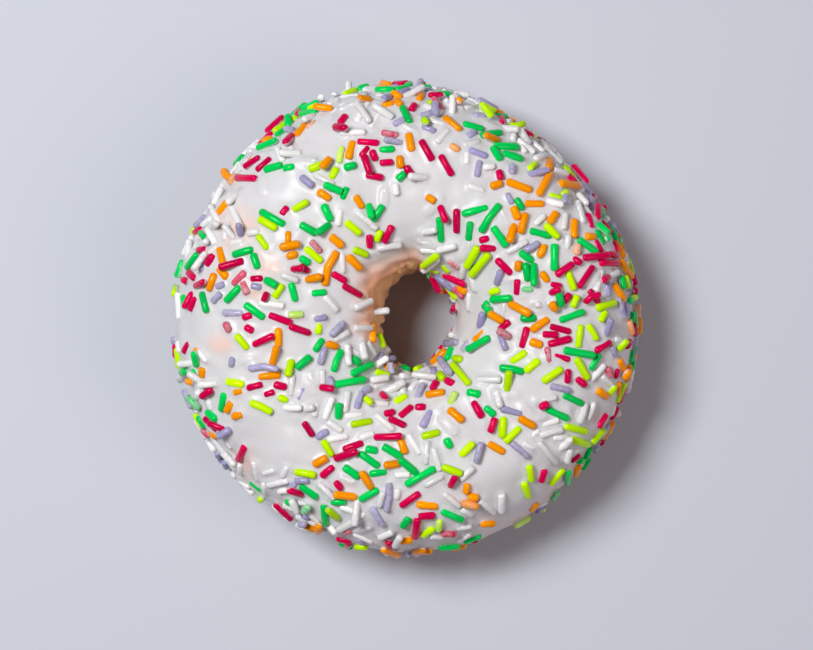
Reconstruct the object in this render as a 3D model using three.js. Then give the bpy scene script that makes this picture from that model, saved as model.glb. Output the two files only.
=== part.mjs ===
// A ring doughnut, iced in white over its top and down over its sides. Millimetres, +Z up.
// It lies on its flattened underside at z = 0, and +Z goes up through the hole.
//
// Two pieces: the fried ring of dough, and the icing that has set on it as a skin of its own.
// A point of the dough is found from two angles in degrees. The ring angle goes round the hole,
// from +X towards +Y. The section angle goes round the upright section of the ring: 0 at the outer
// equator, 90 at the crest, 180 at the waist of the hole and 270 underneath.

import * as THREE from 'three';
import { ParametricGeometry } from 'three/addons/geometries/ParametricGeometry.js';
import { mergeGeometries, mergeVertices } from 'three/addons/utils/BufferGeometryUtils.js';

// The ring of dough, seen from above.
const OUTER_RADIUS = 43.6;
const OUTER_LOBES = [
  { count: 1, height: 0.4, towards: 240 },
  { count: 2, height: 0.4, towards: 110 },
  { count: 3, height: 0.4, towards: 100 },
  { count: 4, height: 0.5, towards: 5 },
];
const HOLE_CENTRE = { x: 3, y: -1 };
const HOLE_RADIUS = 9.4;
const HOLE_LOBES = [
  { count: 2, height: 1.6, towards: 75 },
  { count: 3, height: 0.4, towards: 0 },
];

// Its upright section: a squarish oval, deeper than the dough has room for, so it lies flat.
const EQUATOR_HEIGHT = 14.6;
const CREST_HEIGHT = 31.2;
const CREST_LOBES = [
  { count: 1, height: 0.5, towards: 110 },
  { count: 3, height: 0.3, towards: 40 },
];
const UNDERSIDE_DEPTH = 15.5;
const SECTION_POWER = 2.3;

// The icing: how far it reaches down outside and into the hole, as section angles.
const OUTER_EDGE = -12;
const OUTER_EDGE_LOBES = [
  { count: 5, height: 3, towards: 20 },
  { count: 9, height: 2.4, towards: -35 },
  { count: 14, height: 1.4, towards: 8 },
];
const OUTER_EDGE_RISE = { height: 15, towards: 235, width: 20 };
const INNER_EDGE = 186;
const INNER_EDGE_LOBES = [
  { count: 4, height: 3, towards: 15 },
  { count: 7, height: 2.4, towards: 60 },
];
const BARE_WALL = { lift: 38, from: 78, to: 206, soft: 26 };

// The icing's thickness, its rounded lips, the long thin edge that it has above the bare wall, and
// the bead that has gathered above its outer edge.
const ICING_THICKNESS = 1.5;
const LIP_LENGTH = 2.0;
const THIN_EDGE_LENGTH = 7;
const BEAD = { thickness: 0.6, fromEdge: 3.5, width: 3 };
const SECTION_GIRTH = 104;

// Facets: steps round the ring, rows under the icing, and rows of bare dough.
const RING_STEPS = 80;
const ICED_ROWS = 15;
const BARE_ROWS = 12;

const { degToRad, lerp, smoothstep } = THREE.MathUtils;

// Sum of height * cos(count * (angle - towards)) over a list of lobes.
function swell(lobes, angle) {
  return lobes.reduce(
    (sum, lobe) => sum + lobe.height * Math.cos(degToRad(lobe.count * (angle - lobe.towards))),
    0,
  );
}

// A bell of height 1 and half-width `width` round the angle `towards`.
function bell(angle, towards, width) {
  const away = THREE.MathUtils.euclideanModulo(angle - towards + 180, 360) - 180;
  return Math.exp(-((away / width) ** 2));
}

// The dough's surface at a ring angle and a section angle. Its section stands on the line from
// the hole's edge to the outer edge, and is x = a cos(s) r, z = b sin(s) r, where
// r = (|cos(s)|^n + |sin(s)|^n)^(-1/n). Whatever would reach below z = 0 is pressed flat.
function doughPoint(ringAngle, sectionAngle) {
  const turn = degToRad(ringAngle);
  const outerRadius = OUTER_RADIUS + swell(OUTER_LOBES, ringAngle);
  const holeRadius = HOLE_RADIUS + swell(HOLE_LOBES, ringAngle);
  const outer = new THREE.Vector2(Math.cos(turn), Math.sin(turn)).multiplyScalar(outerRadius);
  const inner = new THREE.Vector2(Math.cos(turn), Math.sin(turn)).multiplyScalar(holeRadius);
  inner.add(new THREE.Vector2(HOLE_CENTRE.x, HOLE_CENTRE.y));

  const cosine = Math.cos(degToRad(sectionAngle));
  const sine = Math.sin(degToRad(sectionAngle));
  const power = SECTION_POWER;
  const reach = (Math.abs(cosine) ** power + Math.abs(sine) ** power) ** (-1 / power);
  const crest = CREST_HEIGHT + swell(CREST_LOBES, ringAngle);
  const halfHeight = sine > 0 ? crest - EQUATOR_HEIGHT : UNDERSIDE_DEPTH;

  const across = inner.clone().lerp(outer, 0.5 + 0.5 * cosine * reach);
  const height = EQUATOR_HEIGHT + halfHeight * sine * reach;
  return new THREE.Vector3(across.x, across.y, Math.max(0, height));
}

// The dough's outward normal, from the two tangents at that point.
function doughNormal(ringAngle, sectionAngle) {
  const step = 0.5;
  const along = doughPoint(ringAngle + step, sectionAngle);
  along.sub(doughPoint(ringAngle - step, sectionAngle));
  const around = doughPoint(ringAngle, sectionAngle + step);
  around.sub(doughPoint(ringAngle, sectionAngle - step));
  return along.cross(around).normalize();
}

// The section angle of the icing's outer edge: scalloped by slow runs, and higher on one side.
function outerEdge(ringAngle) {
  const rise = OUTER_EDGE_RISE.height * bell(ringAngle, OUTER_EDGE_RISE.towards, OUTER_EDGE_RISE.width);
  return OUTER_EDGE + swell(OUTER_EDGE_LOBES, ringAngle) + rise;
}

// 1 over the stretch of the hole's wall that is left bare, 0 elsewhere, blended between.
function bareShare(ringAngle) {
  const { from, to, soft } = BARE_WALL;
  const ended = smoothstep(ringAngle, to - soft, to + soft);
  return smoothstep(ringAngle, from - soft, from + soft) * (1 - ended);
}

// The section angle of the icing's edge in the hole, drawn back over the bare stretch.
function innerEdge(ringAngle) {
  return INNER_EDGE + swell(INNER_EDGE_LOBES, ringAngle) - BARE_WALL.lift * bareShare(ringAngle);
}

// The section angle a share of the way over the icing, from its outer to its inner edge.
function icedAngle(ringAngle, share) {
  return lerp(outerEdge(ringAngle), innerEdge(ringAngle), share);
}

// A quarter-round rise from 0 at an edge to 1 at a length away from it.
const lip = (fromEdge, length) => Math.sqrt(1 - (1 - Math.min(1, fromEdge / length)) ** 2);

// The icing's thickness there: full, with the bead added near the outer edge, and a lip at each.
function icingThickness(ringAngle, share) {
  const span = SECTION_GIRTH * (innerEdge(ringAngle) - outerEdge(ringAngle)) / 360;
  const innerLip = lip((1 - share) * span, lerp(LIP_LENGTH, THIN_EDGE_LENGTH, bareShare(ringAngle)));
  const fromBead = (share * span - BEAD.fromEdge) / BEAD.width;
  const full = ICING_THICKNESS + BEAD.thickness * Math.exp(-(fromBead ** 2));
  return full * lip(share * span, LIP_LENGTH) * innerLip;
}

// An open strip round the ring. pointAt gives the point at a ring angle and a row's number.
function ringStrip(pointAt, rows) {
  const place = (u, v, target) => target.copy(pointAt((u * 360) % 360, v));
  const strip = new ParametricGeometry(place, RING_STEPS, rows);
  strip.deleteAttribute('normal');
  strip.deleteAttribute('uv');
  return strip;
}

// The same strip with its faces turned over.
function turnedOver(strip) {
  const turned = strip.clone();
  const corners = turned.getIndex();
  for (let face = 0; face < corners.count; face += 3) {
    const first = corners.getX(face);
    corners.setX(face, corners.getX(face + 1));
    corners.setX(face + 1, first);
  }
  return turned;
}

// One closed body from strips that share their edges.
function closedBody(strips, name, finish) {
  const geometry = mergeVertices(mergeGeometries(strips));
  geometry.computeVertexNormals();
  const mesh = new THREE.Mesh(geometry, new THREE.MeshStandardMaterial(finish));
  mesh.name = name;
  return mesh;
}

// Rows crowd towards the icing's edges, where its lips are rounded.
const crowded = (share) => (1 - Math.cos(Math.PI * share)) / 2;

// The dough where icing lies on it, the dough left bare, and the icing's outside.
const seat = ringStrip((ringAngle, share) => {
  const sectionAngle = icedAngle(ringAngle, crowded(share));
  return doughPoint(ringAngle, sectionAngle);
}, ICED_ROWS);

const bareDough = ringStrip((ringAngle, share) => {
  const sectionAngle = lerp(innerEdge(ringAngle), 360 + outerEdge(ringAngle), share);
  return doughPoint(ringAngle, sectionAngle);
}, BARE_ROWS);

const cover = ringStrip((ringAngle, share) => {
  const sectionAngle = icedAngle(ringAngle, crowded(share));
  const normal = doughNormal(ringAngle, sectionAngle);
  const thickness = icingThickness(ringAngle, crowded(share));
  return doughPoint(ringAngle, sectionAngle).addScaledVector(normal, thickness);
}, ICED_ROWS);

// The fried ring. Its skin under the icing is the icing's own seat, facet for facet.
const CRUST = { color: 0xc98a4b, roughness: 0.75, metalness: 0 };
const dough = closedBody([seat, bareDough], 'dough', CRUST);

// The icing: its outside, closed from below by the seat turned over.
const SET_SUGAR = { color: 0xf2f0f0, roughness: 0.3, metalness: 0 };
const icing = closedBody([cover, turnedOver(seat)], 'icing', SET_SUGAR);

const doughnut = new THREE.Group();
doughnut.add(dough);
doughnut.add(icing);

export default doughnut;
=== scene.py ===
import bpy
import numpy as np
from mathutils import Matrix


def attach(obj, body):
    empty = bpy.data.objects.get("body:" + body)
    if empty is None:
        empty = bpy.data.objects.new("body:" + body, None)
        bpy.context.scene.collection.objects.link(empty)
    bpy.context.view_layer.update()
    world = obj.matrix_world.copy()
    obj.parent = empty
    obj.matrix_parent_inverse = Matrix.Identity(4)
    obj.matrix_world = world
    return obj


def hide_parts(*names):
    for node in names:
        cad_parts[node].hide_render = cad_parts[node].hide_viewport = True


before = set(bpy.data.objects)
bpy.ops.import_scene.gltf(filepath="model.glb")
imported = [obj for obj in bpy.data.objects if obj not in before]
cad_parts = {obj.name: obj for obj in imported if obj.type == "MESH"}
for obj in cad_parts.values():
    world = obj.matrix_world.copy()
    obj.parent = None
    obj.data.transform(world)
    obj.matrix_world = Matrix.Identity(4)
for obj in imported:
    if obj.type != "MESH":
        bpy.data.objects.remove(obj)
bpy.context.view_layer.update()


# ---- The fried ring of dough ---------------------------------------------------------------------
# A ring of risen yeast dough, fried afloat and turned once, so that it is brown below, palest in a
# band round its middle and peach on the wall of its hole. It lies on its flattened underside.

# Sizes are in millimetres and angles in degrees, until a mesh is made.
MM = 0.001

# The ring seen from above. A lobe is (how many go round, height, the direction of one of them).
OUTER_RADIUS = 43.6
OUTER_LOBES = ((1, 0.4, 240), (2, 0.4, 110), (3, 0.4, 100), (4, 0.5, 5))
HOLE_CENTRE = np.array([3, -1])
HOLE_RADIUS = 9.4
HOLE_LOBES = ((2, 1.6, 75), (3, 0.4, 0))

# Its upright section, a squarish oval.
EQUATOR_HEIGHT = 14.6
CREST_HEIGHT = 31.2
CREST_LOBES = ((1, 0.5, 110), (3, 0.3, 40))
UNDERSIDE_DEPTH = 15.5
SECTION_POWER = 2.3

# How far the icing reaches down outside and into the hole, as section angles.
OUTER_EDGE = -12
OUTER_EDGE_LOBES = ((5, 3, 20), (9, 2.4, -35), (14, 1.4, 8))
OUTER_EDGE_RISE, RISE_TOWARDS, RISE_WIDTH = 15, 235, 20
INNER_EDGE = 186
INNER_EDGE_LOBES = ((4, 3, 15), (7, 2.4, 60))
BARE_LIFT, BARE_FROM, BARE_TO, BARE_SOFT = 38, 78, 206, 26


def swell(lobes, angle):
    """Sum over the lobes (count, height, towards) of height * cos(count * (angle - towards))."""
    return sum(
        height * np.cos(np.radians(count * (angle - towards))) for count, height, towards in lobes
    )


def smoothstep(value, low, high):
    """3t^2 - 2t^3, where t runs from 0 at low to 1 at high and is held at both ends."""
    t = np.clip((value - low) / (high - low), 0, 1)
    return t * t * (3 - 2 * t)


def unit(vectors):
    """Each vector divided by its length."""
    return vectors / np.linalg.norm(vectors, axis=-1, keepdims=True)


def turn_between(angle, towards):
    """The turn from the direction `towards` to an angle, brought to between -180 and 180."""
    return (angle - towards + 180) % 360 - 180


def waves(points, wavelength, seed, height=1.0, count=26):
    """height * sqrt(2/count) times the sum of cos(k.p + phase): plane waves of 0.7 to 1.5 wavelengths
    in directions drawn at random, which make a smooth, uneven relief that strays by about `height`
    from 0."""
    draw = np.random.default_rng(seed)
    directions = unit(draw.normal(size=(count, 3)))
    steps = directions * (2 * np.pi / wavelength) / draw.uniform(0.7, 1.5, (count, 1))
    phases = draw.uniform(0, 2 * np.pi, count)
    return height * (np.sqrt(2 / count) * np.cos(points @ steps.T + phases).sum(axis=-1))


def dough_point(ring, section):
    """The dough's surface at a ring angle round the hole and a section angle round the upright
    section, 0 at the outer equator, 90 at the crest and 180 at the hole's waist. The section stands
    on the line from the hole's edge to the outer edge and is x = a cos(s) r, z = b sin(s) r, where
    r = (|cos s|^n + |sin s|^n)^(-1/n). Nothing is pressed flat yet."""
    ring, section = np.broadcast_arrays(np.asarray(ring, float), np.asarray(section, float))
    heading = np.stack([np.cos(np.radians(ring)), np.sin(np.radians(ring))], axis=-1)
    outer = heading * (OUTER_RADIUS + swell(OUTER_LOBES, ring))[..., None]
    inner = heading * (HOLE_RADIUS + swell(HOLE_LOBES, ring))[..., None] + HOLE_CENTRE
    cosine, sine = np.cos(np.radians(section)), np.sin(np.radians(section))
    squareness = np.abs(cosine) ** SECTION_POWER + np.abs(sine) ** SECTION_POWER
    reach = squareness ** (-1 / SECTION_POWER)
    crest = CREST_HEIGHT + swell(CREST_LOBES, ring)
    half_height = np.where(sine > 0, crest - EQUATOR_HEIGHT, UNDERSIDE_DEPTH)
    across = inner + (outer - inner) * (0.5 + 0.5 * cosine * reach)[..., None]
    height = EQUATOR_HEIGHT + half_height * sine * reach
    return np.concatenate([across, height[..., None]], axis=-1)


def dough_normal(ring, section, step=0.5):
    """The outward normal: the cross product of the two tangents, each from points a step apart."""
    along = dough_point(ring + step, section) - dough_point(ring - step, section)
    around = dough_point(ring, section + step) - dough_point(ring, section - step)
    return unit(np.cross(along, around))


def outer_edge(ring):
    """Section angle of the icing's outer edge: scalloped, with a bell-shaped rise on one side."""
    rise = OUTER_EDGE_RISE * np.exp(-((turn_between(ring, RISE_TOWARDS) / RISE_WIDTH) ** 2))
    return OUTER_EDGE + swell(OUTER_EDGE_LOBES, ring) + rise


def bare_share(ring):
    """1 over the stretch of the hole's wall that is left bare, 0 elsewhere, blended between."""
    ring = ring % 360
    begun = smoothstep(ring, BARE_FROM - BARE_SOFT, BARE_FROM + BARE_SOFT)
    return begun * (1 - smoothstep(ring, BARE_TO - BARE_SOFT, BARE_TO + BARE_SOFT))


def inner_edge(ring):
    """Section angle of the icing's edge in the hole, drawn back over the bare stretch."""
    return INNER_EDGE + swell(INNER_EDGE_LOBES, ring) - BARE_LIFT * bare_share(ring)


def mesh_object(name, points, faces, values):
    """An object at the origin with these points (mm) and faces of four corners. values gives each
    point's numbers for the material, by name."""
    mesh = bpy.data.meshes.new(name)
    mesh.vertices.add(len(points))
    mesh.vertices.foreach_set("co", (points * MM).astype(np.float32).ravel())
    mesh.loops.add(faces.size)
    mesh.loops.foreach_set("vertex_index", faces.astype(np.int32).ravel())
    mesh.polygons.add(len(faces))
    mesh.polygons.foreach_set("loop_start", np.arange(0, faces.size, 4, dtype=np.int32))
    mesh.update(calc_edges=True)
    mesh.shade_smooth()
    for label, numbers in values.items():
        layer = mesh.attributes.new(label, "FLOAT", "POINT")
        layer.data.foreach_set("value", np.asarray(numbers, np.float32).ravel())
    piece = bpy.data.objects.new(name, mesh)
    bpy.context.collection.objects.link(piece)
    return piece


def ring_mesh(name, points, values):
    """A mesh closed both ways from a grid of points (ring steps, section steps, 3). Each face joins
    a grid cell's four corners, with the last row and column joined to the first."""
    rings, rows = points.shape[:2]
    near = np.arange(rings * rows).reshape(rings, rows)
    ahead = np.roll(near, -1, axis=0)
    corners = [near, ahead, np.roll(ahead, -1, axis=1), np.roll(near, -1, axis=1)]
    return mesh_object(name, points.reshape(-1, 3), np.stack(corners, axis=-1).reshape(-1, 4), values)


# Fine rows over the bare dough and a little way on under the icing, and coarse ones hidden by it.
DOUGH_RINGS = 520
BARE_ROWS = 150
HIDDEN_ROWS = 22
UNDER_ICING = 5

ring = np.arange(DOUGH_RINGS)[:, None] * 360 / DOUGH_RINGS
bare_from = inner_edge(ring) - UNDER_ICING
bare_to = 360 + outer_edge(ring) + UNDER_ICING
over_bare = np.linspace(0, 1, BARE_ROWS)[None, :]
over_hidden = np.linspace(0, 1, HIDDEN_ROWS + 2)[None, 1:-1]
section = np.concatenate([
    bare_from + (bare_to - bare_from) * over_bare,
    bare_to + (bare_from + 360 - bare_to) * over_hidden,
], axis=1)
smooth_dough = dough_point(ring, section)

# Swells and dimples all over, level wrinkles in patches, and upright folds on the hole's wall, which
# is set back to make room for them. All fade out towards the crest, where the icing hides them.
SWELL_HEIGHT, SWELL_LENGTH = 0.16, 13
DIMPLE_HEIGHT, DIMPLE_LENGTH = 0.07, 4.5
WRINKLE_DEPTH, WRINKLE_LENGTH = 0.1, 3.2
PATCH_LENGTH, PATCH_WHOLE = 16, 1.2
FOLD_HEIGHT, FOLD_LENGTH, WALL_SETBACK = 0.65, 4.2, 0.45
WALL_BEGINS, WALL_WHOLE = 0.25, 0.8
FADE_FROM, FADE_TO = 20, 29
LEVEL_STRETCH, UPRIGHT_STRETCH = [1, 1, 2.5], [1, 1, 0.3]

relief = waves(smooth_dough, SWELL_LENGTH, seed=1, height=SWELL_HEIGHT)
relief += waves(smooth_dough, DIMPLE_LENGTH, seed=2, height=DIMPLE_HEIGHT)
wrinkled = smoothstep(waves(smooth_dough, PATCH_LENGTH, seed=3), 0, PATCH_WHOLE)
wrinkles = np.abs(waves(smooth_dough * LEVEL_STRETCH, WRINKLE_LENGTH, seed=4))
relief -= WRINKLE_DEPTH * wrinkled * wrinkles
in_hole = smoothstep(-np.cos(np.radians(section)), WALL_BEGINS, WALL_WHOLE)
folds = np.abs(waves(smooth_dough * UPRIGHT_STRETCH, FOLD_LENGTH, seed=7))
relief += (FOLD_HEIGHT * folds - WALL_SETBACK) * in_hole
relief *= smoothstep(-smooth_dough[..., 2], -FADE_TO, -FADE_FROM)
dough_points = smooth_dough + dough_normal(ring, section) * relief[..., None]
dough_points[..., 2] = np.maximum(dough_points[..., 2], 0)

# Browned where it lay in the fat, up to an uneven line, and palest above it.
BROWN_BELOW, PALE_ABOVE = 6.5, 11.5
LINE_HEIGHT, LINE_LENGTH = 0.9, 9
RAGGED_HEIGHT, RAGGED_LENGTH = 0.35, 2.8
brown_line = waves(smooth_dough, LINE_LENGTH, seed=5, height=LINE_HEIGHT)
ragged = waves(smooth_dough, RAGGED_LENGTH, seed=6, height=RAGGED_HEIGHT)
browned = 1 - smoothstep(smooth_dough[..., 2] + brown_line + ragged, BROWN_BELOW, PALE_ABOVE)
ring_dough = ring_mesh("ring_dough", dough_points, {"browned": browned, "in_hole": in_hole})


class Finish:
    """A material's nodes, made and joined by short calls."""

    def __init__(self, name):
        self.material = bpy.data.materials.new(name)
        self.material.use_nodes = True
        self.nodes = self.material.node_tree.nodes
        self.links = self.material.node_tree.links
        self.shader = self.nodes["Principled BSDF"]
        self.place = self.node("ShaderNodeTexCoord").outputs["Object"]

    def set(self, socket, value):
        """Joins a socket to another one, or gives it a fixed value."""
        if isinstance(value, bpy.types.NodeSocket):
            self.links.new(value, socket)
        else:
            socket.default_value = value

    def node(self, kind, inputs=None, **settings):
        """A new node with these settings, and these inputs joined or given a value."""
        made = self.nodes.new(kind)
        for key, value in settings.items():
            setattr(made, key, value)
        for key, value in (inputs or {}).items():
            self.set(made.inputs[key], value)
        return made

    def point_value(self, name):
        """The number that the mesh's points hold under this name, blended between them."""
        return self.node("ShaderNodeAttribute", attribute_name=name).outputs["Fac"]

    def noise(self, size, detail=3.0, roughness=0.55):
        """Noise whose features are about `size` millimetres."""
        made = self.node("ShaderNodeTexNoise", {"Vector": self.place, "Scale": 1 / (size * MM)})
        made.inputs["Detail"].default_value = detail
        made.inputs["Roughness"].default_value = roughness
        return made.outputs["Fac"]

    def ramp(self, value, stops):
        """Colours or greys at places from 0 to 1, blended between."""
        made = self.node("ShaderNodeValToRGB", {"Fac": value})
        held = made.color_ramp.elements
        for index, (place, colour) in enumerate(stops):
            stop = held[index] if index < 2 else held.new(place)
            stop.position = place
            stop.color = (*colour, 1) if isinstance(colour, tuple) else (colour, colour, colour, 1)
        return made.outputs["Color"]

    def math(self, operation, *values):
        """One operation on numbers, such as first * second + third for MULTIPLY_ADD."""
        made = self.node("ShaderNodeMath", dict(enumerate(values)), operation=operation)
        return made.outputs[0]

    def step(self, value, low, high):
        """A smooth step from 0 at low to 1 at high."""
        limits = {"Value": value, "From Min": low, "From Max": high}
        made = self.node("ShaderNodeMapRange", limits, interpolation_type="SMOOTHSTEP")
        return made.outputs["Result"]

    def mix(self, share, first, second):
        """first * (1 - share) + second * share, for colours."""
        made = self.node("ShaderNodeMix", {"Factor": share}, data_type="RGBA", blend_type="MIX")
        self.set(made.inputs["A"], (*first, 1) if isinstance(first, tuple) else first)
        self.set(made.inputs["B"], (*second, 1) if isinstance(second, tuple) else second)
        return made.outputs["Result"]

    def bump(self, height, depth, below=None):
        """Relief of `depth` millimetres between the height's 0 and 1, over that of another bump."""
        inputs = {"Height": height, "Distance": depth * MM, "Strength": 1.0}
        if below is not None:
            inputs["Normal"] = below
        return self.node("ShaderNodeBump", inputs).outputs["Normal"]

    def finish(self, **sockets):
        """Sets the shader's sockets, in whose names a _ stands for a space, and gives the material."""
        for key, value in sockets.items():
            self.set(self.shader.inputs[key.replace("_", " ")], value)
        return self.material


# Mottled from pale through golden to brown, with dark specks, fine pores and a finer grain.
PALE_CRUST = (0.78, 0.56, 0.31)
GOLDEN_CRUST = (0.62, 0.31, 0.10)
BROWN_CRUST = (0.36, 0.145, 0.045)
CRUST_SPECKS = (0.30, 0.12, 0.04)
HOLE_WALL = (1.0, 0.52, 0.26)
MOTTLE_SIZE, SPECK_SIZE, PORE_SIZE, GRAIN_SIZE = 3.2, 0.55, 0.8, 0.3
MOTTLED, SPECKED = 0.25, 0.45
PORE_DEPTH, GRAIN_DEPTH = 0.2, 0.06

look = Finish("fried_crust")
mottle = look.noise(MOTTLE_SIZE, detail=5.0, roughness=0.62)
mottle = look.math("MULTIPLY", look.ramp(mottle, ((0.32, 0.0), (0.7, 1.0))), MOTTLED)
browning = look.math("ADD", look.point_value("browned"), mottle)
crust = look.ramp(browning, ((0.0, PALE_CRUST), (0.55, GOLDEN_CRUST), (0.96, BROWN_CRUST)))
specks = look.ramp(look.noise(SPECK_SIZE), ((0.3, 0.0), (0.75, 1.0)))
crust = look.mix(look.math("MULTIPLY", specks, SPECKED), crust, CRUST_SPECKS)
crust = look.mix(look.point_value("in_hole"), crust, HOLE_WALL)
pores = look.ramp(look.noise(PORE_SIZE, detail=4.0, roughness=0.6), ((0.35, 0.0), (0.6, 1.0)))
grain = look.bump(look.noise(GRAIN_SIZE, detail=2.0), GRAIN_DEPTH)
ring_dough.data.materials.append(look.finish(
    Base_Color=crust, Roughness=0.48, Normal=look.bump(pores, PORE_DEPTH, grain),
    IOR=1.45, Specular_IOR_Level=0.3,
    Subsurface_Weight=0.6, Subsurface_Radius=(1.0, 0.4, 0.2), Subsurface_Scale=3 * MM,
))
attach(ring_dough, "root")
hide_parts("dough")


# ---- The icing as it ran -------------------------------------------------------------------------
# White sugar icing that the ring was dipped in. It sticks to the dough, and has run down outside to
# a scalloped, thickened edge, and into the hole, where one stretch of wall stayed bare. Its mesh is
# made further down, from the same surface, once the strands lie on it.

ICING_THICKNESS = 1.5
LIP_LENGTH = 2.0
THIN_EDGE_LENGTH = 7
BEAD_THICKNESS, BEAD_FROM_EDGE, BEAD_WIDTH = 0.6, 3.5, 3
SECTION_GIRTH = 104


def iced_angle(ring, share):
    """Section angle a share of the way from the icing's outer edge to its edge in the hole."""
    return outer_edge(ring) + (inner_edge(ring) - outer_edge(ring)) * share


def iced_length(ring):
    """The icing's length over the ring, from edge to edge: its share of the section's girth."""
    return SECTION_GIRTH * (inner_edge(ring) - outer_edge(ring)) / 360


def lip(from_edge, length):
    """A quarter-round rise from 0 at an edge to 1 at a length away: sqrt(1 - (1 - e/l)^2)."""
    return np.sqrt(1 - (1 - np.minimum(1, from_edge / length)) ** 2)


def icing_thickness(ring, share):
    """Both lips times T + B exp(-((d - f) / w)^2), where d is the way from the outer edge and the
    second term the bead above it. The inner lip is long where the wall below it is bare."""
    span = iced_length(ring)
    inner_length = LIP_LENGTH + (THIN_EDGE_LENGTH - LIP_LENGTH) * bare_share(ring)
    bead = BEAD_THICKNESS * np.exp(-(((share * span - BEAD_FROM_EDGE) / BEAD_WIDTH) ** 2))
    lips = lip(share * span, LIP_LENGTH) * lip((1 - share) * span, inner_length)
    return lips * (ICING_THICKNESS + bead)


def icing_point(ring, share, sunk=0.0):
    """The icing's outside: the dough's point plus the thickness, less `sunk`, along its normal."""
    section = iced_angle(ring, share)
    thickness = icing_thickness(ring, share) - sunk
    return dough_point(ring, section) + dough_normal(ring, section) * thickness[..., None]


def icing_normal(ring, share, turn=0.4, slip=0.006):
    """Outward normal of the icing's outside: the cross product of a short step round the ring and
    one towards the hole."""
    along = icing_point(ring + turn, share) - icing_point(ring - turn, share)
    low, high = np.clip(share - slip, 0, 1), np.clip(share + slip, 0, 1)
    return unit(np.cross(along, icing_point(ring, high) - icing_point(ring, low)))


# The rows of the cover crowd towards both edges, at t - c sin(2 pi t) / (2 pi). A few rows of its
# seat on the dough close it from below. Along a narrow share of its span at either edge it is sunk a
# little into the dough, and along a wider one it has settled less.
ICING_RINGS = 600
COVER_ROWS = 150
SEAT_ROWS = 6
ROW_CROWDING = 0.55
EDGE_SUNK = 0.12
SUNK_SHARE, CALM_SHARE = 0.02, 0.05

ring = np.arange(ICING_RINGS)[:, None] * 360 / ICING_RINGS
row = np.linspace(0, 1, COVER_ROWS)
share = (row - ROW_CROWDING * np.sin(2 * np.pi * row) / (2 * np.pi))[None, :]
edge_share = np.minimum(share, 1 - share)
cover = icing_point(ring, share, EDGE_SUNK * (1 - smoothstep(edge_share, 0, SUNK_SHARE)))
cover_normal = icing_normal(ring, share)
seat = dough_point(ring, iced_angle(ring, np.linspace(1, 0, SEAT_ROWS + 2)[None, 1:-1]))
from_rim = share * iced_length(ring)
from_hole = (1 - share) * iced_length(ring)

# It has settled unevenly: slow swells all over, and short ones that are highest near the hole.
SETTLED_HEIGHT, SETTLED_LENGTH = 0.2, 10
SHORT_HEIGHT, SHORT_HEIGHT_BY_HOLE, SHORT_LENGTH = 0.04, 0.16, 4
BY_HOLE, AWAY_FROM_HOLE = 3, 9

by_hole = 1 - smoothstep(from_hole, BY_HOLE, AWAY_FROM_HOLE)
settled = waves(cover, SETTLED_LENGTH, seed=11, height=SETTLED_HEIGHT)
settled += (SHORT_HEIGHT + SHORT_HEIGHT_BY_HOLE * by_hole) * waves(cover, SHORT_LENGTH, seed=12)
cover = cover + cover_normal * (settled * smoothstep(edge_share, 0, CALM_SHARE))[..., None]

# How thin it looks, from 0 where it hides the dough to about 1 where the dough shows through: along
# its edges, over the bare wall, and in spots on top. On the outer rim's side away from the key lamp
# the same warm tint is added as painted shade, over icing that also ran thinner there.
THIN, THICK = 0.4, 1.3
THIN_BY_WALL, WALL_FROM, WALL_TO = 0.85, 1.5, 7.5
THIN_AND_SHADE_BY_RIM, RIM_FROM, RIM_TO = 0.3, 4, 16
SHADED_RIM_TOWARDS, SHADED_RIM_WIDTH = -35, 55
THIN_ON_SPOTS = 0.37
UNEVEN_HEIGHT, UNEVEN_LENGTH = 0.1, 3
RAGGED_SHARE, RAGGED_SPOT_LENGTH = 0.2, 4
# x, y and width of each spot
THIN_SPOTS = ((-33, 17.5, 3.5), (-29.5, 6, 2), (-26.5, 10.5, 2), (-36, -5, 2.2), (-31, -29, 2.5))

uneven = waves(cover, UNEVEN_LENGTH, seed=13, height=UNEVEN_HEIGHT)
thinness_and_shade = 1 - smoothstep(icing_thickness(ring, share) + uneven, THIN, THICK)
thinness_and_shade += THIN_BY_WALL * bare_share(ring) * (1 - smoothstep(from_hole, WALL_FROM, WALL_TO))
# Painted shade: a warm tint along the outer rim on the side facing away from the key lamp.
away = turn_between(ring, SHADED_RIM_TOWARDS) / SHADED_RIM_WIDTH
thinness_and_shade += THIN_AND_SHADE_BY_RIM * np.exp(-(away**2)) * (1 - smoothstep(from_rim, RIM_FROM, RIM_TO))
ragged = waves(cover, RAGGED_SPOT_LENGTH, seed=14, height=RAGGED_SHARE)
for x, y, width in THIN_SPOTS:
    away = np.hypot(cover[..., 0] - x, cover[..., 1] - y) / width + ragged
    thinness_and_shade += THIN_ON_SPOTS * np.exp(-(away**2)) * (cover_normal[..., 2] > 0)


# ---- The sugar strands as they fell --------------------------------------------------------------
# Short rods of coloured sugar, about 1.5 mm thick, thrown on while the icing was wet. Most sank a
# third of the way in, white ones deeper; some came to rest across others. Here each finds its place.

COLOURS = {
    # name: share of the strewn strands before more are made white, radius, colour
    "white": (0.18, 0.73, (0.90, 0.89, 0.89)),
    "green": (0.16, 0.77, (0.0, 0.62, 0.10)),
    "lime": (0.10, 0.76, (0.56, 0.93, 0.0)),
    "orange": (0.21, 0.80, (1.0, 0.32, 0.0)),
    "crimson": (0.20, 0.74, (0.66, 0.0, 0.075)),
    "lavender": (0.15, 0.72, (0.33, 0.30, 0.54)),
}
WHITE, LAVENDER = list(COLOURS).index("white"), list(COLOURS).index("lavender")
draw = np.random.default_rng(20)
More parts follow.
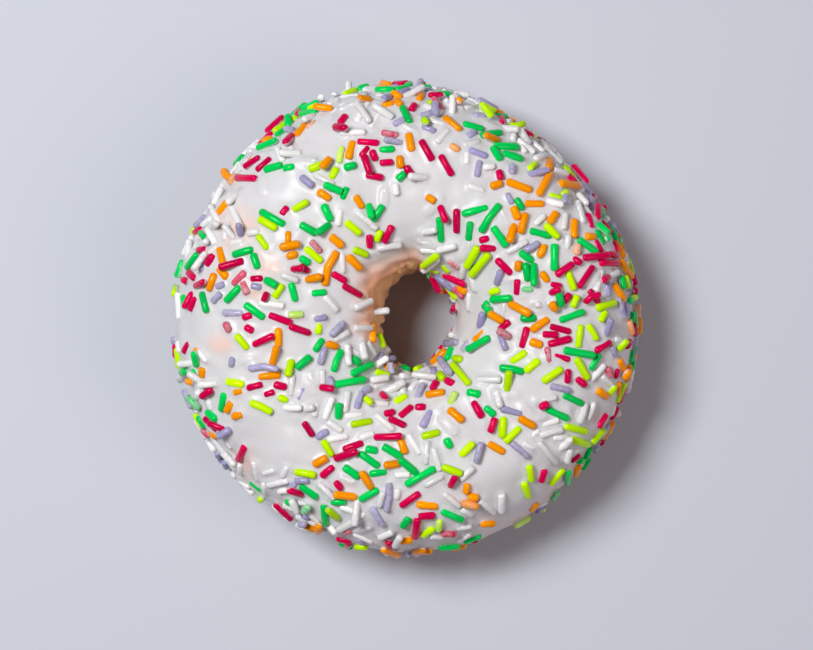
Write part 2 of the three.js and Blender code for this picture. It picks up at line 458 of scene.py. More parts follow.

# The longest and plainest strands on top, each listed: x and y from above, the heading of its
# length and the length, and the turn from its middle to its end where it is bent.
SET_BY_HAND = {
    "green": (
        (-27, 34, 20, 4), (-25.5, 29.5, 15, 3.5), (-19, 40, 0, 3.5), (-4, 44.5, 0, 3.5),
        (0, 39.5, 115, 3.5), (13, 37.5, 165, 4), (16.5, 36, 10, 4), (19.5, 33.5, 0, 4.5),
        (20.5, 31.5, 165, 4), (17.5, 32, 130, 3), (-25.5, 19.5, 150, 5.5), (-31.5, 13, 15, 4),
        (-29, 11, 110, 3), (-41.5, 11, 50, 3.5), (-33.5, 5, 45, 4), (-39, 3, 105, 4),
        (-29, 1.5, 145, 4.5), (-19, 17.5, 150, 3.5), (-16, 17.5, 35, 3.5), (-15, 20.5, 115, 3.5),
        (-5.5, 20.5, 55, 3.5), (-7, 21, 100, 3), (-21.5, 5, 105, 3.5), (13.5, 21, 15, 5),
        (16, 19.5, 55, 6.5, -10), (7, 17.5, 95, 4.5), (12.5, 17, 85, 3.5), (18.5, 16, 125, 4.5),
        (23.5, 12, 145, 3), (23.5, 9, 100, 3.5), (25, 8.5, 90, 4.5), (19, 4, 5, 4), (26, 16.5, 165, 4),
        (29, 12, 90, 5), (35.5, 14, 145, 4.5), (32.5, 0.5, 20, 5), (-35.5, -16, 80, 3.5),
        (-20, -8.5, 40, 3.5), (-13.5, -8, 70, 4.5, -8), (-9, -10, 25, 4.5), (-11, -12.5, 10, 6),
        (-13, -18, 90, 3), (14.5, -5, 30, 5), (20.5, -9.5, 170, 4.5, 15), (33.5, -6.5, 170, 6),
        (37, -8.5, 60, 3.5), (32.5, -15.5, 155, 4), (29.5, -18.5, 155, 4.5), (-7, -27.5, 145, 4.5),
        (-2.5, -25.5, 150, 4), (0.5, -28.5, 140, 4.5), (-10.5, -29.5, 145, 3.5),
        (-18.5, -33.5, 145, 4), (-15.5, -38, 95, 4), (-7, -34, 30, 4), (3, -30.5, 30, 6.5),
        (9, -38.5, 155, 4.5), (31.5, -31, 95, 3.5),
    ),
    "lime": (
        (-26.5, 18.5, 150, 4), (-10, 17.5, 140, 3.5), (-18, 12.5, 140, 4), (13, 12, 60, 4.5),
        (14.5, 10.5, 50, 5.5), (5, 12.5, 40, 4), (28, 17, 135, 3.5), (32, 7.5, 110, 4), (39, 2.5, 15, 4),
        (-31.5, -4.5, 130, 3.5), (-33, -12.5, 170, 3.5), (-28, -17, 155, 4.5, 12),
        (-22.5, -9.5, 75, 3.5), (-8.5, -20, 10, 4), (22, -7.5, 35, 3.5), (20, -12, 80, 4),
        (11, -11, 130, 5), (28.5, -11, 35, 4.5), (24.5, -9, 40, 3.5), (34, -9.5, 120, 4.5),
        (21, -22.5, 45, 4), (19, -21, 85, 4), (33, -21.5, 165, 4.5), (34, -24, 160, 4), (5, -22.5, 15, 3.5),
        (-15, -25, 120, 3.5), (-19.5, -30, 170, 4), (-14, -37.5, 120, 3.5), (12, -25.5, 45, 3.5),
        (9, -29, 160, 4), (24, -30, 100, 3), (23.5, -33, 110, 3),
    ),
    "orange": (
        (-10.5, 32.5, 75, 3.5), (1, 34, 100, 3.5), (9, 38, 140, 4), (16.5, 34.5, 5, 4), (31.5, 26, 175, 4),
        (22, 26, 160, 5), (27, 26, 60, 5), (25, 22.5, 0, 3.5), (-35.5, 12, 105, 3.5), (-37.5, 7, 70, 3.5),
        (-15, 10, 70, 7, -25), (-13.5, 15, 140, 3), (-10, 11, 135, 3.5), (-18, 8, 15, 3.5),
        (20.5, 16.5, 75, 4), (22.5, 18.5, 75, 4), (22.5, 2, 155, 5), (43, 9.5, 130, 4), (41.5, 5, 125, 3.5),
        (-24.5, -3.5, 90, 3.5), (-25.5, -7, 75, 4), (-26.5, -11, 5, 4), (10, -19, 140, 3.5),
        (23.5, -20, 150, 3.5), (26, -1, 35, 4), (-7.5, -31, 120, 4), (-3, -45.5, 150, 4.5),
        (4, -36, 175, 4), (17.5, -25, 150, 3.5), (6, -15, 10, 3.5), (-2.5, -28, 5, 3), (-0.5, -25, 110, 3),
    ),
    "crimson": (
        (-25.5, 38, 45, 4.5), (-30, 30.5, 30, 3.5), (-31, 27.5, 175, 4), (-7, 34, 175, 4),
        (4, 32.5, 120, 4.5), (8, 29.5, 120, 4.5), (34, 28.5, 125, 4.5), (-33.5, 10.5, 20, 4.5),
        (-39.5, 6.5, 10, 3.5), (-24.5, 0, 160, 4.5), (-20.5, -2, 160, 4.5), (-13, 8, 150, 3),
        (-10.5, 5.5, 150, 4), (7.5, 20.5, 115, 3.5), (10, 19, 90, 4.5), (10, 8, 155, 4.5), (19, 10, 135, 4),
        (30.5, 9.5, 35, 4), (35, 8, 55, 5), (36.5, 12, 5, 4.5), (39.5, 11, 0, 4), (-27.5, -4, 25, 4.5),
        (-29, -13, 15, 3), (-3.5, -23, 180, 5.5), (-1.5, -20, 160, 3.5), (0, -18, 40, 3), (23, -3.5, 75, 4),
        (14, -17.5, 120, 3.5), (30, -2, 165, 4), (30, -4.5, 15, 4.5), (38.5, -5.5, 30, 3.5),
        (-24, -37.5, 135, 4.5), (-10, -24.5, 20, 4), (-11.5, -26.5, 20, 5), (-15, -29.5, 40, 3),
        (2, -40.5, 85, 4), (9, -31.5, 70, 3), (1, -35, 35, 4.5), (-32, -26, 65, 3),
    ),
    "lavender": (
        (-33.5, 1, 180, 4), (42, 2, 110, 4), (-27.5, -9, 0, 6, -25), (-16, -7, 75, 3.5),
        (-13.5, -2, 45, 3.5), (8, -9.5, 125, 4.5), (9.5, -5, 10, 4.5), (20.5, -18, 165, 4),
        (-3, -34.5, 85, 5.5, 20), (-5.5, -38.5, 120, 4), (22.5, -25.5, 140, 4.5), (4, -19.5, 60, 3.5),
        (14, 32, 160, 3.5), (14, 29, 80, 3), (25.5, 28, 5, 3.5), (-19, 26.5, 140, 3), (18, 8, 70, 3),
    ),
    "white": (
        (-33, 20, 115, 5), (-7.5, 19, 140, 5), (-13, 19.5, 80, 3), (21.5, 14, 30, 4.5), (5, 11, 40, 3.5),
        (8, 14, 15, 3.5), (34, 21, 105, 4.5), (31, 19, 80, 3), (-8.5, 3, 25, 3.5), (-5, 1.5, 5, 3.5),
        (9.5, -3.5, 170, 3.5), (3.5, -11, 30, 3), (-11.5, -16, 80, 4), (-15, -17.5, 70, 4.5),
        (-13, -23, 10, 4), (-4, -20, 140, 4.5), (-22, -13, 85, 4), (-11.5, -7, 95, 4), (28, -22, 15, 4.5),
        (-11.5, -40, 30, 4), (4, -26, 85, 4.5), (6, -27, 105, 4.5), (12, -30, 45, 3.5),
        (16, -36.5, 140, 4), (18.5, -36, 90, 3.5), (27.5, -26, 130, 5.5), (-25, -32, 15, 4),
        (37.5, -10.5, 45, 4), (36, -18, 70, 3.5), (9, -35, 140, 4),
    ),
}

# A strand that would lie in others tries these leans about its middle (radians) and lifts, and may
# press a little into a neighbour. Only strands this near are looked at.
LEANS, LIFTS = (
    steps.ravel() for steps in np.meshgrid(np.linspace(-0.6, 0.6, 13), np.linspace(0, 1.6, 9))
)
PRESSED = 0.93
NEIGHBOURHOOD = 7.5
RAISED_COST = 0.3
LEAST_ASKEW = 1e-6

UP = np.array([0, 0, 1.0])
placed = {key: [] for key in ("centre", "axis", "normal", "half", "radius", "kind", "bend")}


def place(*values):
    """Adds one strand to those placed: its values in the order of the keys."""
    for key, value in zip(placed, values):
        placed[key].append(value)


def rods_apart(centre, axis, half, centres, axes, halves):
    """How far the middle lines of rods (one for each row) come from those of other rods (one for
    each column). The lines' closest places, from d.a, d.b and a.b, are held to the rods' lengths."""
    between = centres[None] - centre[:, None]
    a_b = axis @ axes.T
    d_a, d_b = (between * axis[:, None]).sum(-1), (between * axes[None]).sum(-1)
    own = np.clip((d_a - a_b * d_b) / np.maximum(1 - a_b**2, LEAST_ASKEW), -half, half)
    other = np.clip(own * a_b - d_b, -halves, halves)
    own = np.clip(d_a + other * a_b, -half, half)
    apart = between + other[..., None] * axes[None] - own[..., None] * axis[:, None]
    return np.linalg.norm(apart, axis=-1)


def come_to_rest(spot, normal, flat, tilt, perch, half, radius):
    """Of the leans and lifts, the pose that lies lowest and still clears the strands there already,
    or the clearest if none does: centre = spot + n (perch r + |sin lean| half + lift), which keeps
    the lower end down on the icing at lift 0. Returns centre, axis, how far it was raised, and
    whether it clears."""
    lean = tilt + LEANS
    axis = flat * np.cos(lean)[:, None] + normal * np.sin(lean)[:, None]
    raised = LIFTS + np.abs(np.sin(LEANS)) * half
    centre = spot + normal * (perch * radius + np.abs(np.sin(lean)) * half + LIFTS)[:, None]
    clear = np.full(len(lean), np.inf)
    if placed["half"]:
        centres, halves = np.array(placed["centre"]), np.array(placed["half"])
        near = np.linalg.norm(centres - spot, axis=-1) < NEIGHBOURHOOD
        if near.any():
            axes, radii = np.array(placed["axis"])[near], np.array(placed["radius"])[near]
            apart = rods_apart(centre, axis, half, centres[near], axes, halves[near])
            clear = (apart - PRESSED * (radii + radius)).min(axis=-1)
    if (clear >= 0).any():
        best = np.lexsort((raised, clear < 0))[0]
    else:
        best = np.argmax(clear - RAISED_COST * raised)
    return centre[best], axis[best], raised[best], clear[best] >= 0


# Those listed come to rest on the icing straight below, or, past the edge of the hole, stay level
# with one end on it. They are a little longer than they show. `perch` is how high a strand's
# middle line lies over the icing, in radii: higher near the hole and on steep sides, where they
# hardly sank in. How steep the icing is shows in its normal's upright part.
HIDDEN_LENGTH = 0.3
SET_RADII = (0.93, 1.07)
SET_PERCHES = (0.15, 0.5)
NEAR_HOLE, OVER_HOLE = 17, 12
PERCH_NEAR_HOLE, PERCH_ON_SIDE, PERCH_LEVEL = 0.6, 0.7, 0.5
OFF_ICING, STEEP = 0.7, 0.35
STEEP_SIDE, GENTLE_TOP = 0.3, 0.85
HIGHER_COUNTS = 0.05
LEAST_UPRIGHT, LEAST_FLAT = 0.25, 0.65

top, top_normal = cover.reshape(-1, 3), cover_normal.reshape(-1, 3)
for kind, (name, (_, kind_radius, _)) in enumerate(COLOURS.items()):
    for x, y, heading, length, *bend in SET_BY_HAND[name]:
        length += HIDDEN_LENGTH
        radius = kind_radius * draw.uniform(*SET_RADII)
        from_centre = np.hypot(x - HOLE_CENTRE[0], y - HOLE_CENTRE[1])
        near_hole = from_centre < NEAR_HOLE
        perch = draw.uniform(*SET_PERCHES) + PERCH_NEAR_HOLE * near_hole
        ahead = np.array([np.cos(np.radians(heading)), np.sin(np.radians(heading)), 0])

        # The icing straight below its middle and its two ends, and how far off that is sideways.
        ends = np.array([x, y, 0]) + np.outer([0, -1, 1], ahead * (length / 2 - radius))
        gaps = np.linalg.norm(top[None, :, :2] - ends[:, None, :2], axis=-1)
        below = np.argmin(gaps - HIGHER_COUNTS * top[:, 2], axis=-1)
        offset = gaps[[0, 1, 2], below]
        past_edge = offset[0] > OFF_ICING or top_normal[below[0], 2] < STEEP
        held = np.argmin(offset) if past_edge and from_centre < OVER_HOLE else 0
        spot, normal = top[below[held]], top_normal[below[held]]
        if held:
            half = length / 2 - radius
            centre = np.array([x, y, spot[2] + PERCH_LEVEL * radius])
            place(centre, ahead, UP, half, radius, kind, 0)
            continue

        # Laid along the icing, it keeps its heading and length as they are from above.
        steepness = 1 - smoothstep(normal[2], STEEP_SIDE, GENTLE_TOP)
        perch += PERCH_ON_SIDE * steepness * (not near_hole)
        flat = ahead - UP * (ahead @ normal) / max(normal[2], LEAST_UPRIGHT)
        flat = unit(flat - normal * (flat @ normal))
        half = length / max(np.linalg.norm(flat[:2]), LEAST_FLAT) / 2 - radius
        centre, axis, _, _ = come_to_rest(spot, normal, flat, 0, perch, half, radius)
        place(centre, axis, normal, half, radius, kind, np.radians(*bend) if bend else 0)
by_hand = len(placed["half"])

# Stretches of the top where hardly a strand landed: x, y and radius.
PLAIN_SPOTS = (
    (-27, -23, 6.5), (-20, -25, 3.5), (-40, -2, 4.5), (-36, -6, 3), (17, -31, 5), (20, -37, 3.5),
    (1, 21, 4.5), (-9, 26, 3), (-23, 25, 4), (-25, 11.5, 2.5), (-17, 35, 3), (24, -14, 3),
    (17, -8, 2.5), (5, 26, 2.5), (-29, 22, 3.5),
)
# Where the strands landed thickest: x, y and radius.
CROWDED_SPOTS = (
    (18, 34, 6), (1, 43, 8), (-35, 10, 7), (-19, 12, 6), (26, 13, 9), (41, 10, 8), (27, -5, 8),
    (-11, -4, 7), (3, -12, 6), (-10, -14, 9), (-6, -27, 9), (23, -19, 6), (-14, -36, 7),
    (33, -24, 6), (-29, 32, 6), (9, 10, 6), (35, 24, 7),
)
# Where white ones lie thickest: x, y and radius.
WHITE_DRIFTS = (
    (-13, -10, 8), (-9, -18, 7), (1, -17, 6), (27, -25, 6), (-10, 41, 7), (11, 43, 4), (-22, 30, 4),
    (-38, 16, 8), (-40, 27, 8), (-33, 33, 6), (-30, -33, 8), (31, 31, 6), (8, -16, 5), (12, 10, 4),
)
# Stretches of the side that few strands reached: the middle's direction and the half-width.
QUIET_SIDES = ((180, 22), (-42, 24), (258, 16), (285, 16))

# The rest are strewn. Many more spots than strands are tried, anywhere round the ring and anywhere
# from the icing's outer edge to the hole. A spot is kept more often far from the middle, where the
# same turn covers more icing, and where strands drift or crowd. It is kept less often at the edges,
# above the bare wall and on quiet sides, and never on a plain spot. A crowd and a quiet side have a
# soft edge, exp(-(d / r)^4).
TRIES = 36000
STREWN_COUNT = 660
DRIFT_LENGTH, DRIFT_SWING, DRIFT_SHARPNESS = 9, 0.45, 2
BY_DRIFT, BY_CROWD = 0.3, 0.7
DRIFTS_ALONE_UNDER = 0.3
PLAIN_ABOVE = 0.2
RIM_NONE, RIM_ALL = 0.01, 0.09
HOLE_ALL, HOLE_FEW, FEWER_BY_HOLE = 0.86, 0.98, 0.8
WALL_ALL, WALL_NONE = 0.75, 0.9
QUIET_BELOW, QUIET_ENDS, FEWER_ON_QUIET_SIDES = 0.18, 0.36, 0.85

try_ring = draw.uniform(0, 360, TRIES)
try_share = draw.uniform(0.0, 1.0, TRIES)
spots = icing_point(try_ring, try_share)
spot_normals = icing_normal(try_ring, try_share)
upright = spot_normals[:, 2]
wide = np.linalg.norm(spots[:, :2], axis=-1) / OUTER_RADIUS
drift = 0.5 + DRIFT_SWING * np.tanh(DRIFT_SHARPNESS * waves(spots, DRIFT_LENGTH, seed=21))
crowd = drift * (upright < DRIFTS_ALONE_UNDER)
for x, y, spot_radius in CROWDED_SPOTS:
    away = np.hypot(spots[:, 0] - x, spots[:, 1] - y) / spot_radius
    crowd = np.maximum(crowd, np.exp(-(away**4)))
off_edges = smoothstep(try_share, RIM_NONE, RIM_ALL)
off_edges *= 1 - FEWER_BY_HOLE * smoothstep(try_share, HOLE_ALL, HOLE_FEW)
plain = np.zeros(TRIES, bool)
for x, y, spot_radius in PLAIN_SPOTS:
    plain |= (np.hypot(spots[:, 0] - x, spots[:, 1] - y) < spot_radius) & (upright > PLAIN_ABOVE)
quiet = np.zeros(TRIES)
for towards, width in QUIET_SIDES:
    quiet = np.maximum(quiet, np.exp(-((turn_between(try_ring, towards) / width) ** 4)))
quiet *= 1 - smoothstep(try_share, QUIET_BELOW, QUIET_ENDS)
above_bare = bare_share(try_ring) * smoothstep(try_share, WALL_ALL, WALL_NONE)
likely = wide * (BY_DRIFT * drift + BY_CROWD * crowd) * off_edges
likely = likely * (1 - FEWER_ON_QUIET_SIDES * quiet) * (1 - above_bare)
keep = (draw.uniform(size=TRIES) < likely) & ~plain
spots, spot_normals = spots[keep], spot_normals[keep]

# What falls on each kept spot. Strands on the sides and white ones are longer. White ones get an
# extra share on top and most of each white drift, and sank deeper than the rest. Tilts and bends are
# in radians.
SIDE_NORMAL, TOP_NORMAL = 0.1, 0.6
RADIUS_LEAST, RADIUS_MOST = 0.92, 1.08
LENGTH_MEAN, LENGTH_SPREAD, LENGTH_LEAST, LENGTH_MOST = 3.1, 0.7, 2.1, 5.5
LONGER_ON_SIDE, LONGER_IF_WHITE = 0.8, 1.0
WHITE_ON_TOP, WHITE_IN_DRIFTS = 0.28, 0.7
PERCH_LEAST, PERCH_MOST, HIGHER_ON_SIDE, WHITE_SUNK = 0.1, 0.55, 0.3, 0.7
TILT_SPREAD, TILTED_SHARE, TILTED_SPREAD = 0.05, 0.06, 0.35
BEND_SPREAD, BENT_SHARE, BENT_LEAST, BENT_MOST = 0.06, 0.05, 0.4, 0.9
# On top some may lie across others, up to this many radii high, but not on the listed ones.
PILED_SHARE, PILE_HEIGHT, CLEAR_OF_SET = 0.4, 1.6, 3.5
PILES_END_ON_SIDE = 0.3
SHORTEST_HALF = 0.3
SLANTING = [0.3, 0.2, 0.93]


def flat_heading(normals, headings):
    """A direction across each normal, turned about it by the heading (radians): f cos h + (n x f)
    sin h, where f is square to the normal and to one slanting line."""
    first = unit(np.cross(normals, SLANTING))
    second = np.cross(normals, first)
    return first * np.cos(headings)[:, None] + second * np.sin(headings)[:, None]


count = len(spots)
shares, kind_radii, _ = zip(*COLOURS.values())
kinds = draw.choice(len(COLOURS), count, p=shares)
on_side = 1 - smoothstep(spot_normals[:, 2], SIDE_NORMAL, TOP_NORMAL)
white_share = WHITE_ON_TOP * (on_side < 0.5)
for x, y, spot_radius in WHITE_DRIFTS:
    white_share[np.hypot(spots[:, 0] - x, spots[:, 1] - y) < spot_radius] = WHITE_IN_DRIFTS
whitened = draw.uniform(size=count) < white_share
kinds[whitened] = WHITE
white = kinds == WHITE
longer = np.maximum(LONGER_ON_SIDE * on_side, LONGER_IF_WHITE * white)
lengths = draw.normal(LENGTH_MEAN + longer, LENGTH_SPREAD, count).clip(LENGTH_LEAST, LENGTH_MOST)
radii = np.array(kind_radii)[kinds] * draw.uniform(RADIUS_LEAST, RADIUS_MOST, count)
flats = flat_heading(spot_normals, draw.uniform(0, 2 * np.pi, count))
perches = draw.uniform(PERCH_LEAST, PERCH_MOST, count) + HIGHER_ON_SIDE * on_side
perches -= white * draw.uniform(0, WHITE_SUNK, count)
tilts = draw.normal(0, TILT_SPREAD, count)
tilts += (draw.uniform(size=count) < TILTED_SHARE) * draw.normal(0, TILTED_SPREAD, count)
from_set = np.linalg.norm(spots[:, None] - np.array(placed["centre"]), axis=-1).min(axis=1)
may_pile = (on_side < PILES_END_ON_SIDE) & (from_set > CLEAR_OF_SET)
piling = draw.uniform(size=count) < PILED_SHARE * may_pile
bent = draw.uniform(size=count) < BENT_SHARE
strong_bends = draw.uniform(BENT_LEAST, BENT_MOST, count)
bends = np.where(bent, strong_bends, draw.normal(0, BEND_SPREAD, count))

strewn = 0
for spot, normal, flat, kind, length, radius, perch, tilt, pile, bend in zip(
        spots, spot_normals, flats, kinds, lengths, radii, perches, tilts, piling, bends):
    if strewn >= STREWN_COUNT:
        break
    half = max(length / 2 - radius, SHORTEST_HALF)
    centre, axis, raised, clear = come_to_rest(spot, normal, flat, tilt, perch, half, radius)
    if clear and raised <= (PILE_HEIGHT * radius if pile else 0):
        place(centre, axis, normal, half, radius, kind, bend)
        strewn += 1
placed = {key: np.array(value) for key, value in placed.items()}
total = len(placed["half"])

# How thickly icing films each over, from 0 to 1: white ones anything, lavender ones up to half, and
# of the rest only a few, none of them among the listed ones.
FILMED_SHARE, FILM_LEAST, FILM_MOST = 0.12, 0.2, 0.6
LAVENDER_FILM_MOST = 0.5

filmed = draw.uniform(size=total) < FILMED_SHARE
films = np.where(filmed, draw.uniform(FILM_LEAST, FILM_MOST, total), 0)
films[:by_hand] = 0
films = np.where(placed["kind"] == LAVENDER, draw.uniform(0, LAVENDER_FILM_MOST, total), films)
films = np.where(placed["kind"] == WHITE, draw.uniform(0, 1, total), films)


# ---- The icing as it set -------------------------------------------------------------------------
# The same icing, drawn up the strands' sides while it was wet, and now a glossy skin. It has soft
# ridges over strands that sank right under, and shows peach where it is thin. On its rim's side away
# from the key lamp that peach is laid on as painted shade.

# It is drawn up round each strand that touches it, most round those it has filmed over: r h
# exp(-(d / w)^2), where d is how far the icing lies beyond the strand's side and h grows with the
# film. Several strands' pulls join as the cube root of their summed cubes, level off at a limit, and
# halve on steep sides.
CREEP_HEIGHT, CREEP_BY_FILM = 0.45, 0.6
CREEP_WIDTH = 0.4
CREEP_LIMIT = 0.8
STRAND_SIDE = 0.8
STEEP_NORMAL, GENTLE_NORMAL = 0.1, 0.7
# The pull is whole while a strand's middle line lies up to so many radii over the icing, and gone
# where it lies so many over it. It also ends so deep under the icing (mm), on the ring's other side.
WHOLE_PULL, NO_PULL = 0.6, 1.6
DEEP, TOO_DEEP = -2.0, -3.0
STRANDS_AT_ONCE = 40

pull = np.zeros(len(top))
for batch in np.array_split(np.arange(total), max(1, total // STRANDS_AT_ONCE)):
    centre, axis, half, radius = (placed[key][batch] for key in ("centre", "axis", "half", "radius"))
    between = top[:, None, :] - centre
    along = np.clip((between * axis).sum(-1), -half, half)
    offset = between - along[..., None] * axis
    above = -(offset * top_normal[:, None, :]).sum(-1)
    aside = np.sqrt(np.maximum((offset**2).sum(-1) - above**2, 0))
    contact = 1 - smoothstep(above, WHOLE_PULL * radius, NO_PULL * radius)
    contact *= smoothstep(above, TOO_DEEP, DEEP)
    climb = np.exp(-((np.maximum(aside - STRAND_SIDE * radius, 0) / CREEP_WIDTH) ** 2))
    creep = radius * (CREEP_HEIGHT + CREEP_BY_FILM * films[batch]) * climb * contact
    pull += (creep ** 3).sum(-1)
pull = CREEP_LIMIT * (1 - np.exp(-np.cbrt(pull) / CREEP_LIMIT))
pull *= 0.5 + 0.5 * smoothstep(top_normal[:, 2], STEEP_NORMAL, GENTLE_NORMAL)

# White strands that sank right under leave soft ridges: h exp(-(d / w)^2), where d is how far the
# icing lies from a strand's middle line. A ridge fades out where icing is drawn up round others.
SUNKEN_COUNT = 130
SUNKEN_BATCHES = 4
SUNKEN_HALF = 1.3
RIDGE_LEAST, RIDGE_MOST, RIDGE_WIDTH = 0.2, 0.5, 0.8
SUNKEN_CLEAR_OF_SET = 2.8
RIDGE_WHOLE_AT, RIDGE_GONE_AT = 0.02, 0.2
# Both fade out along the icing's edges, over this share of its span.
EDGE_STILL, EDGE_FREE = 0.002, 0.03

sunken = np.nonzero((white_share > 0) & (from_set > SUNKEN_CLEAR_OF_SET))[0][-SUNKEN_COUNT:]
ridge_heights = draw.uniform(RIDGE_LEAST, RIDGE_MOST, SUNKEN_COUNT)
ridges = np.zeros(len(top))
for batch, ridge_height in zip(
        np.array_split(sunken, SUNKEN_BATCHES), np.array_split(ridge_heights, SUNKEN_BATCHES)):
    between = top[:, None, :] - spots[batch]
    along = np.clip((between * flats[batch]).sum(-1), -SUNKEN_HALF, SUNKEN_HALF)
    away = np.linalg.norm(between - along[..., None] * flats[batch], axis=-1)
    ridges += (ridge_height * np.exp(-((away / RIDGE_WIDTH) ** 2))).sum(-1)
pull += ridges * (1 - smoothstep(pull, RIDGE_WHOLE_AT, RIDGE_GONE_AT))
drawn_up = pull.reshape(cover.shape[:2]) * smoothstep(edge_share, EDGE_STILL, EDGE_FREE)
cover = cover + cover_normal * drawn_up[..., None]
thin_and_shade = np.concatenate([thinness_and_shade, np.zeros((ICING_RINGS, SEAT_ROWS))], axis=1)
white_icing = ring_mesh("white_icing", np.concatenate([cover, seat], axis=1), {"thin_and_shade": thin_and_shade})

ICING_WHITE = (0.70, 0.695, 0.71)
ICING_THIN_AND_SHADE = (1.0, 0.48, 0.29)
RIPPLE_LENGTH, RIPPLE_DEPTH = 1.6, 0.025

look = Finish("set_icing")
ripples = look.bump(look.noise(size=RIPPLE_LENGTH, detail=2.0), RIPPLE_DEPTH)
# The peach of dough through thin icing, which on the rim's shaded side is painted shade.
seen_through_and_shade = look.mix(look.point_value("thin_and_shade"), ICING_WHITE, ICING_THIN_AND_SHADE)
white_icing.data.materials.append(look.finish(
    Base_Color=seen_through_and_shade, Roughness=0.34, Normal=ripples, IOR=1.4, Specular_IOR_Level=0.45,
    Subsurface_Weight=0.45, Subsurface_Radius=(1.0, 0.8, 0.65), Subsurface_Scale=1.2 * MM,
))
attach(white_icing, "root")
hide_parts("icing")


# ---- The sugar strands, set in place -------------------------------------------------------------
# Each strand is a rod of pressed sugar, straight or a little bent, with rounded or nearly cut ends.
# Icing reaches up its sides and has filmed over some. The strands of one colour make one piece.

# Seven rings of eight points along an arc in the icing's plane: at u along it the spine is
# (sin(k u) / k, (1 - cos(k u)) / k). The rings at each end lie this far in, in radii, and narrow to
# the roundest end's widths plus a share of what a blunt one has more.
SIDES = 8
END_INSETS = np.array([0.02, 0.2, 0.65])
TIP_WIDTH, TIP_BLUNTER = 0.34, 0.26
SHOULDER_WIDTH, SHOULDER_BLUNTER = 0.72, 0.16
LUMPS = 0.03
LEAST_CURVE = 1e-5

blunt = draw.uniform(0, 1, total)
tones = draw.normal(0, 1, total)
side = unit(np.cross(placed["normal"], placed["axis"]))
up = np.cross(placed["axis"], side)
radius = placed["radius"][:, None]
reach = placed["half"][:, None] + radius
curve = (placed["bend"] / reach[:, 0] + LEAST_CURVE)[:, None]
inset = radius * END_INSETS
along = np.concatenate([inset - reach, 0 * reach, (reach - inset)[:, ::-1]], axis=1)
tip = TIP_WIDTH + TIP_BLUNTER * blunt
shoulder = SHOULDER_WIDTH + SHOULDER_BLUNTER * blunt
end = np.stack([tip, shoulder, np.ones(total)], axis=1)
profile = np.concatenate([end, np.ones((total, 1)), end[:, ::-1]], axis=1)
profile = profile * radius * (1 + draw.normal(0, LUMPS, profile.shape))
ahead = np.sin(curve * along) / curve
aside = (1 - np.cos(curve * along)) / curve
spine = placed["centre"][:, None] + ahead[..., None] * placed["axis"][:, None]
spine = spine + aside[..., None] * side[:, None]
turned = (np.cos(curve * along)[..., None] * side[:, None]
          - np.sin(curve * along)[..., None] * placed["axis"][:, None])
spoke_turn = np.arange(SIDES) * 2 * np.pi / SIDES
spokes = (np.cos(spoke_turn)[:, None] * turned[:, :, None]
          + np.sin(spoke_turn)[:, None] * up[:, None, None])
rods = spine[:, :, None] + profile[:, :, None, None] * spokes
# 0 on a strand's top and 1 on its underside.
lows = 0.5 - 0.5 * (spokes * placed["normal"][:, None, None]).sum(-1)

# One rod's faces: its wall, and at each end three four-cornered faces fanned out from one point.
RINGS = profile.shape[1]
corner = np.arange(RINGS * SIDES).reshape(RINGS, SIDES)
following = np.roll(corner, -1, axis=1)
walls = np.stack([corner[:-1], following[:-1], following[1:], corner[1:]], -1).reshape(-1, 4)
caps = np.array([
    closed[[0, k, k + 1, k + 2]] for closed in (corner[0][::-1], corner[-1]) for k in (1, 3, 5)
])
rod_faces = np.concatenate([walls, caps])


# Icing shows on them as a streaked film and as a skirt round their undersides. Their glints are
# tinted with their colour, in part.
TONE_SPREAD = 0.08
STREAK_SIZE, STREAK_FROM, STREAK_TO = 0.9, 0.25, 0.6
SKIRT_RAGGED, SKIRT_FROM, SKIRT_TO, SKIRT_SHARE = 0.35, 0.72, 0.9, 0.7
SUGAR_GRAIN_SIZE, SUGAR_GRAIN_DEPTH = 0.35, 0.03
UNTINTED, TINTED = 0.2, 0.8


def strand_look(name, colour):
    """Glossy sugar in one colour: its shade is the colour times 1 + spread * tone, uneven from strand
    to strand. A film of icing, streaked by a noise, pales some, and icing skirts the sides of all."""
    look = Finish(name)
    tone = look.math("MULTIPLY_ADD", look.point_value("tone"), TONE_SPREAD, 1.0)
    scaled = look.node("ShaderNodeVectorMath", {0: colour, "Scale": tone}, operation="SCALE")
    streaks = look.noise(STREAK_SIZE, detail=2.0)
    film = look.math("MULTIPLY", look.point_value("film"), look.step(streaks, STREAK_FROM, STREAK_TO))
    low = look.math("ADD", look.point_value("low"), look.math("MULTIPLY", streaks, SKIRT_RAGGED))
    skirt = look.math("MULTIPLY", look.step(low, SKIRT_FROM, SKIRT_TO), SKIRT_SHARE)
    filmed = look.mix(look.math("MAXIMUM", film, skirt), scaled.outputs[0], ICING_WHITE)
    grain = look.bump(look.noise(SUGAR_GRAIN_SIZE, detail=2.0), SUGAR_GRAIN_DEPTH)
    tint = (*(UNTINTED + TINTED * np.array(colour)), 1)
    return look.finish(
        Base_Color=filmed, Roughness=0.16, Normal=grain, IOR=1.5, Specular_Tint=tint,
        Subsurface_Weight=0.12, Subsurface_Radius=(1.0, 1.0, 1.0), Subsurface_Scale=0.3 * MM,
    )


for kind, (name, (_, _, colour)) in enumerate(COLOURS.items()):
    own = np.nonzero(placed["kind"] == kind)[0]
    each = RINGS * SIDES
    faces = (rod_faces[None] + np.arange(len(own))[:, None, None] * each).reshape(-1, 4)
    strands = mesh_object(f"strands_{name}", rods[own].reshape(-1, 3), faces, {
        "tone": np.repeat(tones[own], each),
        "film": np.repeat(films[own], each),
        "low": lows[own].ravel(),
    })
    strands.data.materials.append(strand_look(f"sugar_{name}", colour))
    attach(strands, "root")


# ---- Floor, light and camera ---------------------------------------------------------------------
# A plain pale floor, a large soft lamp from the upper left, a weaker and warmer one from the right,
# a faint even light from all round, and a camera straight above.

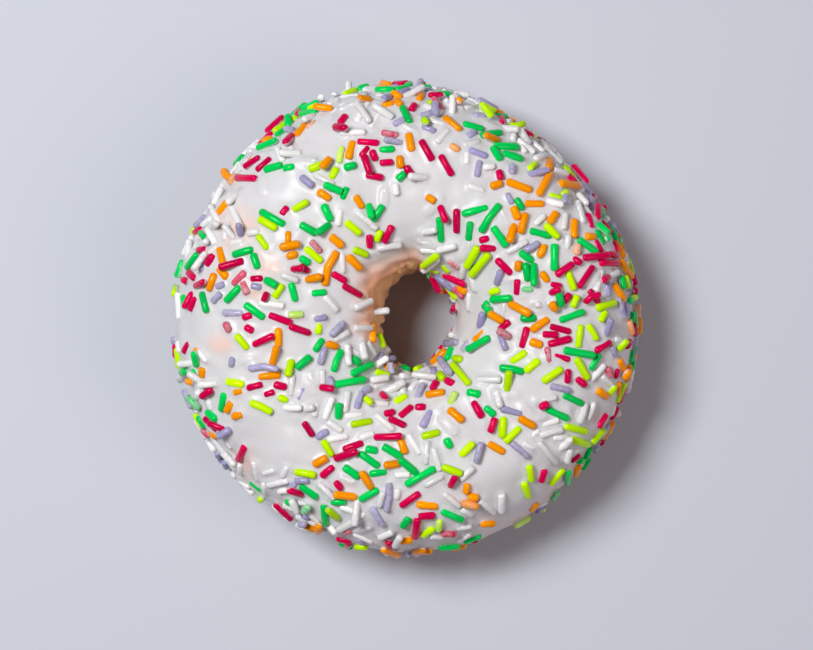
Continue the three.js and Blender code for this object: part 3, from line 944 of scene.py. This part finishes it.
FLOOR_COLOUR = (0.58, 0.61, 0.68, 1)
FLOOR_HALF = 2
mesh = bpy.data.meshes.new("floor")
floor_corners = [(x * FLOOR_HALF, y * FLOOR_HALF, 0) for x, y in ((-1, -1), (1, -1), (1, 1), (-1, 1))]
mesh.from_pydata(floor_corners, [], [(0, 1, 2, 3)])
floor = bpy.data.objects.new("floor", mesh)
bpy.context.collection.objects.link(floor)
look = Finish("pale_floor")
floor.data.materials.append(look.finish(Base_Color=FLOOR_COLOUR, Roughness=0.8))


def soft_lamp(name, azimuth, elevation, distance, size, power, colour=(1, 1, 1)):
    """A square lamp on a sphere round the part, facing its middle: d (cos e cos a, cos e sin a,
    sin e) from it, in metres."""
    lamp = bpy.data.lights.new(name, "AREA")
    lamp.color = colour
    lamp.size = size
    lamp.energy = power
    holder = bpy.data.objects.new(name, lamp)
    turn, rise = np.radians(azimuth), np.radians(elevation)
    holder.location = (
        distance * np.cos(rise) * np.cos(turn),
        distance * np.cos(rise) * np.sin(turn),
        distance * np.sin(rise) + EQUATOR_HEIGHT * MM,
    )
    holder.rotation_euler = (np.pi / 2 - rise, 0, turn + np.pi / 2)
    bpy.context.collection.objects.link(holder)


soft_lamp("key", azimuth=150, elevation=62, distance=0.8, size=0.25, power=5.9)
soft_lamp("fill", azimuth=-20, elevation=45, distance=0.8, size=0.4, power=1.45, colour=(1.0, 0.86, 0.86))

STUDIO_COLOUR = (0.97, 0.94, 1.0, 1)
STUDIO_STRENGTH = 0.10
world = bpy.data.worlds.new("studio")
world.use_nodes = True
around = world.node_tree.nodes["Background"].inputs
around["Color"].default_value = STUDIO_COLOUR
around["Strength"].default_value = STUDIO_STRENGTH
bpy.context.scene.world = world
bpy.context.scene.view_settings.view_transform = "Standard"

# The view's width is measured at the height of the ring's equator.
VIEW_WIDTH = 0.1626
VIEW_MIDDLE = (0.0002, -0.0012)
CAMERA_HEIGHT = 0.6
lens = bpy.data.cameras.new("camera")
lens.sensor_width = 36
lens.lens = lens.sensor_width * (CAMERA_HEIGHT - EQUATOR_HEIGHT * MM) / VIEW_WIDTH
lens.clip_start = 0.01
camera = bpy.data.objects.new("camera", lens)
camera.location = (*VIEW_MIDDLE, CAMERA_HEIGHT)
bpy.context.collection.objects.link(camera)
bpy.context.scene.camera = camera
